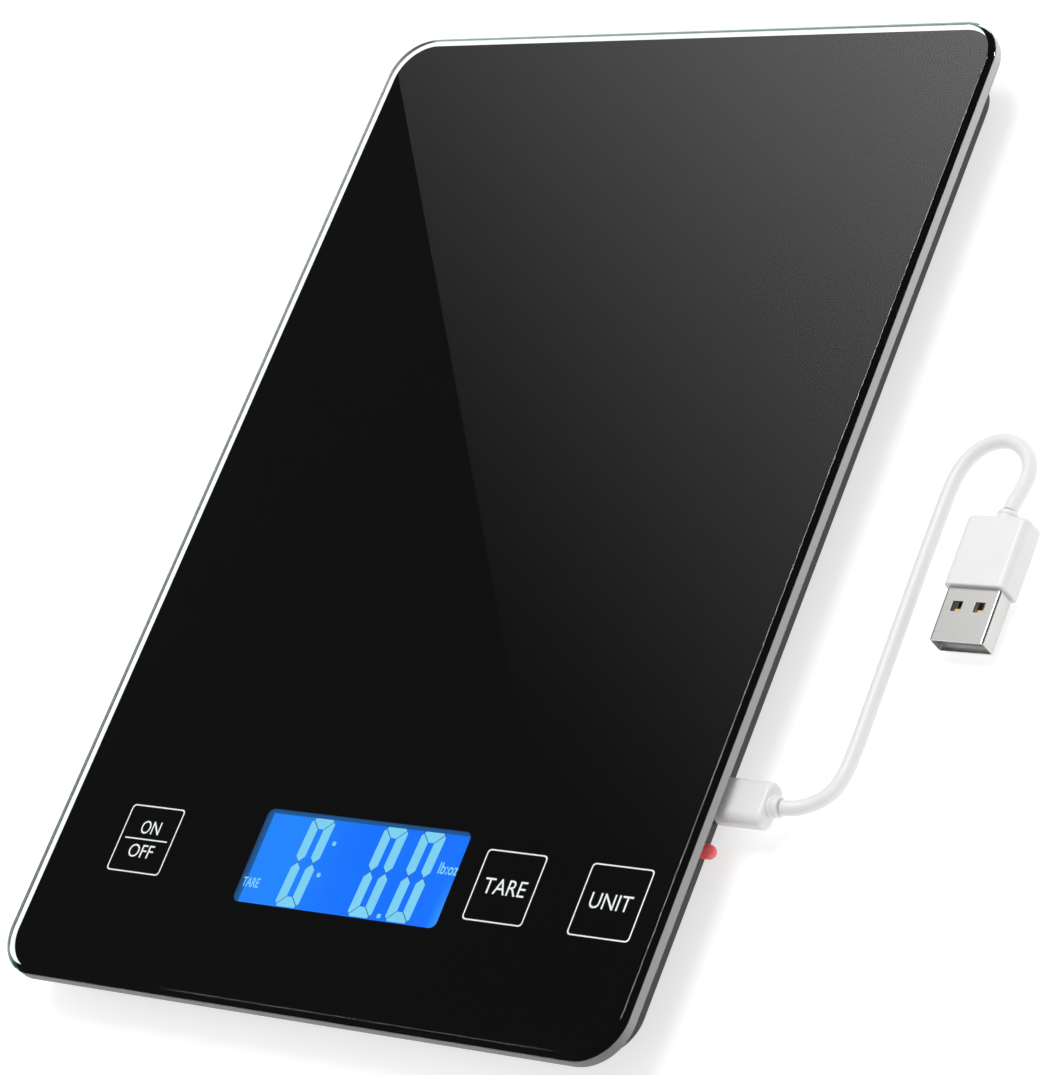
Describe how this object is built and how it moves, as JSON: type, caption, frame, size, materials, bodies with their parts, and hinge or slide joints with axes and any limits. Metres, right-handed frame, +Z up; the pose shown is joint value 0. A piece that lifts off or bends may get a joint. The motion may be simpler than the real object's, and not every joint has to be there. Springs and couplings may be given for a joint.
{
  "type": "kitchen scale",
  "caption": "Slim rectangular kitchen scale with a black glass platform, blue backlit display, printed touch buttons and a white USB charging lead.",
  "frame": {"origin": "on the table, under the middle of the glass platform", "axes": "+Z up, +Y along the scale away from the display, +X towards the charging socket"},
  "size_m": [0.2003, 0.2326, 0.0156],
  "materials": {
    "clear_glass": "polished, ground rim",
    "black_print": "opaque black enamel with white outlines",
    "foam_tape": "matt foam",
    "grey_shell": "fine-grained moulded",
    "light_plastic": "moulded",
    "display": "blue backlit display",
    "diffuser": "milky",
    "circuit_board": "solder mask",
    "spring_brass": "bright drawn",
    "battery_foil": "satin foil pouch",
    "foot_rubber": "matt",
    "red_lamp": "clear red, lit",
    "lead_sleeve": "satin",
    "cable_sleeve": "satin white sleeve",
    "white_plastic": "satin white",
    "contact_plastic": "black, plated contacts",
    "bright_steel": "bright"
  },
  "bodies": {
    "base": {"backlight_panel": "diffuser", "battery_cell": "battery_foil", "battery_lead": "lead_sleeve", "bonding_tape": "foam_tape", "charge_lamp": "red_lamp", "charging_board": "circuit_board", "foot_carrier_front_left": "light_plastic", "foot_carrier_front_right": "light_plastic", "foot_carrier_rear_left": "light_plastic", "foot_carrier_rear_right": "light_plastic", "glass_platform": "clear_glass", "graphic_film": "black_print", "housing_deck": "grey_shell", "housing_screw_1": "bright_steel", "housing_screw_2": "bright_steel", "housing_screw_3": "bright_steel", "housing_screw_4": "bright_steel", "housing_screw_5": "bright_steel", "housing_screw_6": "bright_steel", "housing_tray": "grey_shell", "lcd_holder": "light_plastic", "lcd_panel": "display", "load_cell_front_left": "bright_steel", "load_cell_front_right": "bright_steel", "load_cell_lead_front_left": "lead_sleeve", "load_cell_lead_front_right": "lead_sleeve", "load_cell_lead_rear_left": "lead_sleeve", "load_cell_lead_rear_right": "lead_sleeve", "load_cell_rear_left": "bright_steel", "load_cell_rear_right": "bright_steel", "load_cell_screw_front_left": "bright_steel", "load_cell_screw_front_right": "bright_steel", "load_cell_screw_rear_left": "bright_steel", "load_cell_screw_rear_right": "bright_steel", "main_board": "circuit_board", "rubber_foot_front_left": "foot_rubber", "rubber_foot_front_right": "foot_rubber", "rubber_foot_rear_left": "foot_rubber", "rubber_foot_rear_right": "foot_rubber", "touch_spring_on_off": "spring_brass", "touch_spring_tare": "spring_brass", "touch_spring_unit": "spring_brass", "usb_socket_shell": "bright_steel", "usb_socket_tongue": "contact_plastic"},
    "charging_lead": {"charging_cable": "cable_sleeve", "usb_c_plug_shell": "bright_steel", "usb_c_overmould": "white_plastic", "usb_c_strain_relief": "white_plastic", "usb_a_overmould": "white_plastic", "usb_a_strain_relief": "white_plastic", "usb_a_shell": "bright_steel", "usb_a_tongue": "contact_plastic"}
  },
  "joints": [
    {"name": "plug_pull", "type": "slide", "parent": "base", "child": "charging_lead", "axis": [1, 0, 0], "range_m": [0, 0.02]}
  ]
}
